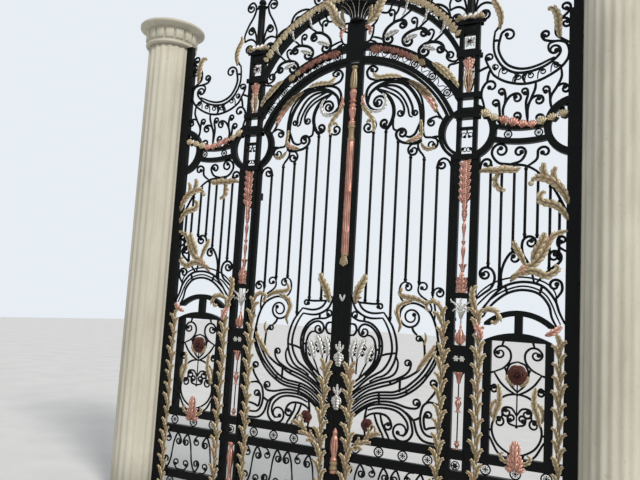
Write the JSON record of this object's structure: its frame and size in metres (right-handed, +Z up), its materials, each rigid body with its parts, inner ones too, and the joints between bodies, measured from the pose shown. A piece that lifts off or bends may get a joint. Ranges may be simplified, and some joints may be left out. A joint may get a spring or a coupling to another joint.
{
  "type": "wrought iron driveway gate",
  "caption": "Tall double driveway gate of wrought scrollwork with gilt leaves, hung on iron piers under an arched overthrow between stone columns.",
  "frame": {"origin": "centre of the left column's flat foot, on the ground", "axes": "+X along the gate to the right column seen from the street, +Y into the grounds, +Z up"},
  "size_m": [5.858, 0.8998, 6.0132],
  "materials": {
    "black_iron": "satin",
    "gilt": "satin",
    "copper": "satin",
    "rose_red": "satin",
    "stone": "matte"
  },
  "bodies": {
    "gate_frame": {"left_side_base": "black_iron", "left_side_scrolls": "black_iron", "left_small_panel": "black_iron", "left_side_garlands": "gilt", "left_side_rose": "rose_red", "left_side_frame": "black_iron", "left_pier": "black_iron", "left_pier_balusters": "copper", "left_hinge_pins": "black_iron", "left_column_shaft": "stone", "left_column_capital": "stone", "left_jamb_post": "black_iron", "right_side_base": "black_iron", "right_side_scrolls": "black_iron", "right_small_panel": "black_iron", "right_side_garlands": "gilt", "right_side_rose": "rose_red", "right_side_frame": "black_iron", "right_pier": "black_iron", "right_pier_balusters": "copper", "right_hinge_pins": "black_iron", "right_column_shaft": "stone", "right_column_capital": "stone", "right_jamb_post": "black_iron", "overthrow_arch": "black_iron", "overthrow_rings": "black_iron", "overthrow_scrolls": "black_iron", "overthrow_crest": "black_iron", "overthrow_garlands": "gilt"},
    "left_leaf": {"left_leaf_frame": "black_iron", "left_leaf_swirl": "black_iron", "left_leaf_shell": "black_iron", "left_leaf_base": "black_iron", "left_leaf_garlands": "gilt", "left_leaf_rose": "rose_red", "left_hinge_barrels": "black_iron"},
    "right_leaf": {"right_leaf_frame": "black_iron", "right_leaf_swirl": "black_iron", "right_leaf_shell": "black_iron", "right_leaf_base": "black_iron", "right_leaf_garlands": "gilt", "right_leaf_rose": "rose_red", "right_hinge_barrels": "black_iron", "cover_column": "copper"}
  },
  "joints": [
    {"name": "left_leaf_hinge", "type": "hinge", "parent": "gate_frame", "child": "left_leaf", "pos_m": [1.3795, 0.052, 0], "axis": [0, 0, 1], "range_deg": [0, 100]},
    {"name": "right_leaf_hinge", "type": "hinge", "parent": "gate_frame", "child": "right_leaf", "pos_m": [3.5785, 0.052, 0], "axis": [0, 0, -1], "range_deg": [0, 100]}
  ]
}
